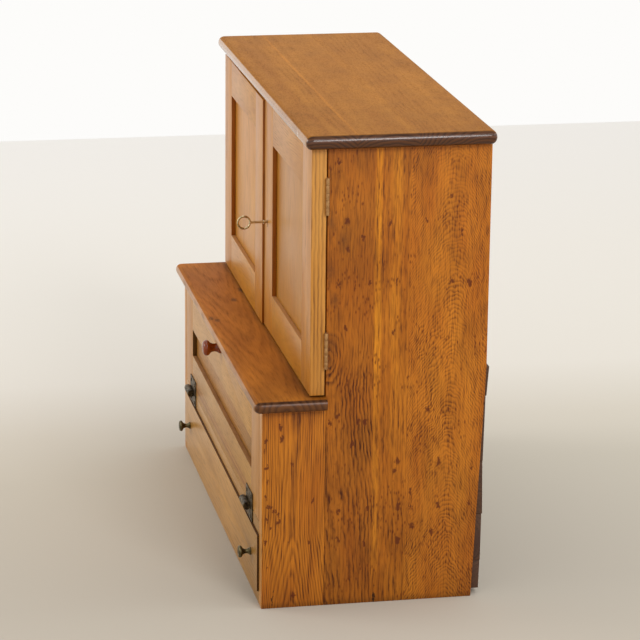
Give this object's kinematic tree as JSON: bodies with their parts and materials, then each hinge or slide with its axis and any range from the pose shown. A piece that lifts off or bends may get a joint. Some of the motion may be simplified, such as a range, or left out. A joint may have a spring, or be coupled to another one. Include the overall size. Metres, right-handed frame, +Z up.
{
  "type": "machinist tool chest",
  "caption": "Step-back oak tool chest with framed doors above, a framed fall front and a shallow drawer below; doors, fall front, drawer, lock bolt and key all move.",
  "frame": {"origin": "on the floor, under the middle of the case's width and depth", "axes": "+Z up, +X to the right of someone facing the doors, the front faces -Y"},
  "size_m": [0.729, 0.3389, 0.655],
  "materials": {
    "varnished_oak": "aged satin varnish",
    "dark_back_wood": "dry and dark with age",
    "plain_inner_wood": "unvarnished",
    "red_brown_turned_wood": "polished",
    "aged_brass": "tarnished",
    "dark_bronzed_iron": "dark bronze",
    "worn_steel": "worn and dull"
  },
  "bodies": {
    "case": {"top_board": "varnished_oak", "step_board": "varnished_oak", "left_side_board": "varnished_oak", "left_side_front_board": "varnished_oak", "right_side_board": "varnished_oak", "right_side_front_board": "varnished_oak", "bottom_board": "varnished_oak", "divider_board": "varnished_oak", "cupboard_floor": "varnished_oak", "cupboard_shelf": "plain_inner_wood", "shelf_cleats": "plain_inner_wood", "back_board_1": "dark_back_wood", "back_board_2": "dark_back_wood", "back_board_3": "dark_back_wood", "back_board_4": "dark_back_wood", "back_board_5": "dark_back_wood", "back_board_6": "dark_back_wood", "back_board_7": "dark_back_wood", "back_board_8": "dark_back_wood", "flap_stops": "plain_inner_wood", "drawer_stops": "plain_inner_wood", "right_door_hinge_case_leaves": "aged_brass", "right_door_hinge_pins": "aged_brass", "left_door_hinge_case_leaves": "aged_brass", "left_door_hinge_pins": "aged_brass", "flap_hinge_rail_leaves": "dark_bronzed_iron", "flap_hinge_pins": "dark_bronzed_iron"},
    "right_door": {"right_door_meeting_stile": "varnished_oak", "right_door_hinge_stile": "varnished_oak", "right_door_top_rail": "varnished_oak", "right_door_bottom_rail": "varnished_oak", "right_door_panel": "varnished_oak", "right_door_hinge_door_leaves": "aged_brass", "lock_case": "aged_brass"},
    "key": {"key": "worn_steel"},
    "lock_bolt": {"lock_bolt": "aged_brass"},
    "left_door": {"left_door_meeting_stile": "varnished_oak", "left_door_hinge_stile": "varnished_oak", "left_door_top_rail": "varnished_oak", "left_door_bottom_rail": "varnished_oak", "left_door_panel": "varnished_oak", "left_door_hinge_door_leaves": "aged_brass", "left_door_strike_plate": "worn_steel"},
    "flap": {"flap_left_stile": "varnished_oak", "flap_right_stile": "varnished_oak", "flap_top_rail": "varnished_oak", "flap_bottom_rail": "varnished_oak", "flap_panel": "varnished_oak", "flap_knob": "red_brown_turned_wood", "flap_hinge_flap_leaves": "dark_bronzed_iron"},
    "drawer": {"drawer_right_side": "plain_inner_wood", "drawer_left_side": "plain_inner_wood", "drawer_left_knob": "aged_brass", "drawer_right_knob": "aged_brass", "drawer_front": "varnished_oak", "drawer_back": "plain_inner_wood", "drawer_bottom": "plain_inner_wood"}
  },
  "joints": [
    {"name": "right_door_hinge", "type": "hinge", "parent": "case", "child": "right_door", "pos_m": [0.35288, -0.068, 0.46725], "axis": [0, 0, 1], "range_deg": [0, 175]},
    {"name": "left_door_hinge", "type": "hinge", "parent": "case", "child": "left_door", "pos_m": [-0.35288, -0.068, 0.46725], "axis": [0, 0, -1], "range_deg": [-0.5, 175]},
    {"name": "key_turn", "type": "hinge", "parent": "right_door", "child": "key", "pos_m": [0.024, -0.089, 0.4575], "axis": [0, 1, 0], "range_deg": [0, 180]},
    {"name": "bolt_throw", "type": "slide", "parent": "right_door", "child": "lock_bolt", "axis": [-1, 0, 0], "range_m": [0, 0.008]},
    {"name": "flap_hinge", "type": "hinge", "parent": "case", "child": "flap", "pos_m": [0, -0.1587, 0.1185], "axis": [1, 0, 0], "range_deg": [0, 90]},
    {"name": "drawer_slide", "type": "slide", "parent": "case", "child": "drawer", "axis": [0, -1, 0], "range_m": [0, 0.2]}
  ],
  "couplings": [
    {"joint": "bolt_throw", "follows": "key_turn", "m_per_rad": 0.0025465}
  ]
}
